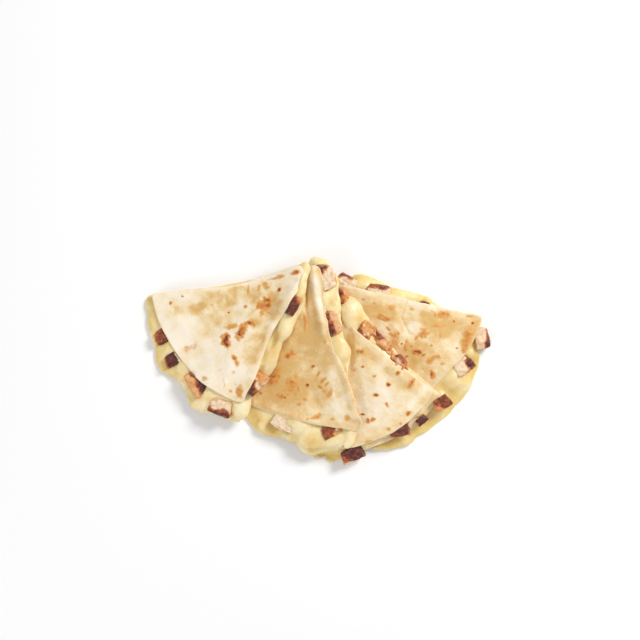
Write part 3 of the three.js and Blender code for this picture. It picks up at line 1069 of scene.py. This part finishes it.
# Painted highlight on the cheese's raised crests
PAINTED_CREST_HIGHLIGHT = (250, 238, 204)
MILKY = (248, 236, 196)
STAIN = (222, 184, 98)

# Chicken
PALE_MEAT = (242, 226, 198), (226, 194, 154)
SPICED_MEAT = (232, 172, 108), (204, 128, 66)
SEARED = (176, 94, 46), (130, 60, 34)
CHARRED = (110, 52, 44), (72, 34, 31)
SEAR_RIM = (200, 122, 66)
# Painted highlight on the chicken's convex edges
PAINTED_EDGE_HIGHLIGHT = (214, 142, 88)


def linear(colour):
    """A colour on screen as a shader's colour."""
    part = [value / 255 for value in colour]
    return (*[c / 12.92 if c < 0.04045 else ((c + 0.055) / 1.055) ** 2.4 for c in part], 1)


class Nodes:
    """A material's node tree, built by calls that each return an output."""

    def __init__(self, name):
        self.material = bpy.data.materials.new(name)
        self.material.use_nodes = True
        self.tree = self.material.node_tree
        self.shader = self.tree.nodes["Principled BSDF"]
        self.place = self.add("ShaderNodeTexCoord").outputs["Object"]

    def add(self, kind, **settings):
        node = self.tree.nodes.new(kind)
        for key, value in settings.items():
            setattr(node, key, value)
        return node

    def put(self, socket, value):
        if isinstance(value, bpy.types.NodeSocket):
            self.tree.links.new(value, socket)
        else:
            socket.default_value = value

    def attribute(self, name):
        return self.add("ShaderNodeAttribute", attribute_name=name).outputs["Fac"]

    def noise(self, size, detail, roughness):
        """Noise from 0 to 1 whose bumps are about size mm across."""
        node = self.add("ShaderNodeTexNoise")
        self.put(node.inputs["Vector"], self.place)
        self.put(node.inputs["Scale"], 1 / (size * MM))
        self.put(node.inputs["Detail"], detail)
        self.put(node.inputs["Roughness"], roughness)
        return node.outputs["Fac"]

    def math(self, operation, a, b):
        node = self.add("ShaderNodeMath", operation=operation)
        self.put(node.inputs[0], a)
        self.put(node.inputs[1], b)
        return node.outputs[0]

    def ramp(self, value, low, high, start=0.0, end=1.0):
        """A value taken from the range low to high into the range start to end, smoothly."""
        node = self.add("ShaderNodeMapRange", interpolation_type="SMOOTHSTEP")
        ends = {"From Min": low, "From Max": high, "To Min": start, "To Max": end}
        for key, given in {"Value": value, **ends}.items():
            self.put(node.inputs[key], given)
        return node.outputs["Result"]

    def mix(self, share, a, b):
        node = self.add("ShaderNodeMix", data_type="RGBA")
        self.put(node.inputs[0], share)
        self.put(node.inputs[6], a)
        self.put(node.inputs[7], b)
        return node.outputs[2]

    def bump(self, height, strength, distance):
        node = self.add("ShaderNodeBump")
        self.put(node.inputs["Height"], height)
        self.put(node.inputs["Strength"], strength)
        self.put(node.inputs["Distance"], distance * MM)
        self.put(self.shader.inputs["Normal"], node.outputs["Normal"])

    def finish(self, **inputs):
        for key, value in inputs.items():
            self.put(self.shader.inputs[key.replace("_", " ")], value)
        return self.material


def tortilla_material():
    nodes = Nodes("tortilla")
    broad = nodes.noise(9, 3, 0.5)
    flour = nodes.noise(2.2, 5, 0.65)
    speckle = nodes.noise(0.8, 3, 0.6)
    golden = nodes.math("ADD", nodes.attribute("golden"), nodes.ramp(broad, 0.3, 0.7, -0.16, 0.16))
    golden = nodes.math("ADD", golden, nodes.ramp(flour, 0.35, 0.65, -0.08, 0.08))
    colour = nodes.mix(nodes.ramp(golden, -0.1, 0.6), linear(FLOURY), linear(CREAM))
    colour = nodes.mix(nodes.ramp(golden, 0.35, 1.2), colour, linear(TAN))
    colour = nodes.mix(nodes.ramp(flour, 0.58, 0.74, 0, 0.22), colour, linear(DUSTED))
    freckles = nodes.ramp(nodes.noise(1.7, 2, 0.5), 0.6, 0.72)
    freckles = nodes.math("MULTIPLY", freckles, nodes.ramp(golden, 0.2, 1.1))
    colour = nodes.mix(nodes.math("MULTIPLY", freckles, 0.6), colour, linear(FRECKLE))
    toast = nodes.math("ADD", nodes.attribute("toast"), nodes.ramp(speckle, 0.3, 0.7, -0.05, 0.05))
    colour = nodes.mix(nodes.ramp(toast, 0.02, 0.4), colour, linear(TOASTED))
    colour = nodes.mix(nodes.ramp(toast, 0.36, 0.72), colour, linear(BROWN))
    colour = nodes.mix(nodes.ramp(toast, 0.66, 0.92), colour, linear(BURNT))
    # Paler rim: partly the cut edge's own tone, partly a painted highlight.
    colour = nodes.mix(nodes.math("MULTIPLY", nodes.attribute("rim"), 0.4), colour, linear(PALE_RIM_AND_HIGHLIGHT))
    nodes.bump(nodes.math("ADD", flour, nodes.math("MULTIPLY", speckle, 0.4)), 0.4, 0.3)
    return nodes.finish(
        Base_Color=colour,
        Roughness=0.6,
        Subsurface_Weight=0.1,
        Subsurface_Radius=(1.0, 0.55, 0.25),
        Subsurface_Scale=0.002,
    )


def cheese_material():
    nodes = Nodes("cheese")
    broad = nodes.noise(12, 3, 0.5)
    fine = nodes.noise(3, 4, 0.55)
    # tone carries painted light: low in hollows for painted shade, high on bumps for painted highlight.
    tone = nodes.math("ADD", nodes.attribute("lift"), nodes.ramp(broad, 0.3, 0.7, -0.3, 0.3))
    thick = nodes.attribute("thick")
    shallow = nodes.mix(nodes.ramp(tone, -0.8, 0.5), *map(linear, PUDDLE))
    deep = nodes.mix(nodes.ramp(tone, -0.8, 0.3), *map(linear, FOLD))
    colour = nodes.mix(thick, shallow, deep)
    # Painted highlight on the raised crests.
    colour = nodes.mix(nodes.ramp(tone, 0.1, 0.9, 0, 0.7), colour, linear(PAINTED_CREST_HIGHLIGHT))
    colour = nodes.mix(nodes.ramp(fine, 0.58, 0.8, 0, 0.25), colour, linear(MILKY))
    stain = nodes.math("MULTIPLY", nodes.ramp(nodes.noise(6, 3, 0.5), 0.52, 0.72), 0.35)
    colour = nodes.mix(stain, colour, linear(STAIN))
    nodes.bump(fine, 0.25, 0.4)
    return nodes.finish(
        Base_Color=colour,
        Roughness=nodes.ramp(fine, 0.3, 0.7, 0.28, 0.46),
        Subsurface_Weight=0.4,
        Subsurface_Radius=(1.0, 0.75, 0.3),
        Subsurface_Scale=0.005,
    )


def chicken_material():
    nodes = Nodes("chicken")
    mottle = nodes.noise(2.8, 4, 0.6)
    fine = nodes.noise(0.9, 3, 0.6)
    pale = nodes.mix(nodes.ramp(mottle, 0.3, 0.7), *map(linear, PALE_MEAT))
    toned = nodes.mix(nodes.ramp(mottle, 0.3, 0.7), *map(linear, SPICED_MEAT))
    meat = nodes.mix(nodes.attribute("orange"), pale, toned)
    crust = nodes.math("ADD", nodes.attribute("crust"), nodes.ramp(fine, 0.3, 0.7, -0.1, 0.1))
    crust = nodes.math("ADD", crust, nodes.ramp(mottle, 0.3, 0.7, -0.12, 0.12))
    seared = nodes.mix(nodes.ramp(mottle, 0.35, 0.65), *map(linear, SEARED))
    colour = nodes.mix(nodes.ramp(crust, 0.1, 0.42), meat, linear(SEAR_RIM))
    colour = nodes.mix(nodes.ramp(crust, 0.36, 0.62), colour, seared)
    darkest = nodes.mix(nodes.ramp(mottle, 0.32, 0.68), *map(linear, CHARRED))
    char = nodes.math("MULTIPLY", nodes.ramp(crust, 0.6, 1.0), nodes.attribute("dark"))
    colour = nodes.mix(nodes.ramp(char, 0.1, 0.75), colour, darkest)
    # Painted highlight along the convex edges.
    colour = nodes.mix(nodes.math("MULTIPLY", nodes.attribute("painted_edge_highlight"), 0.6), colour, linear(PAINTED_EDGE_HIGHLIGHT))
    nodes.bump(nodes.math("ADD", mottle, nodes.math("MULTIPLY", fine, 0.5)), 0.5, 0.4)
    return nodes.finish(
        Base_Color=colour,
        Roughness=nodes.ramp(fine, 0.3, 0.7, 0.38, 0.6),
        Specular_IOR_Level=0.4,
        Subsurface_Weight=0.06,
        Subsurface_Radius=(1.0, 0.4, 0.2),
        Subsurface_Scale=0.0015,
    )


# ---- The scene -----------------------------------------------------------------------------------------

camera()
studio()
flour_skin = tortilla_material()
molten = cheese_material()
meat = chicken_material()
for wedge in WEDGES:
    base_tortilla(wedge, flour_skin)
    cheese(wedge, molten)
    top_tortilla(wedge, flour_skin)
    for number in range(1, len(BROWNED[wedge]) + 1):
        chicken(wedge, number, meat)
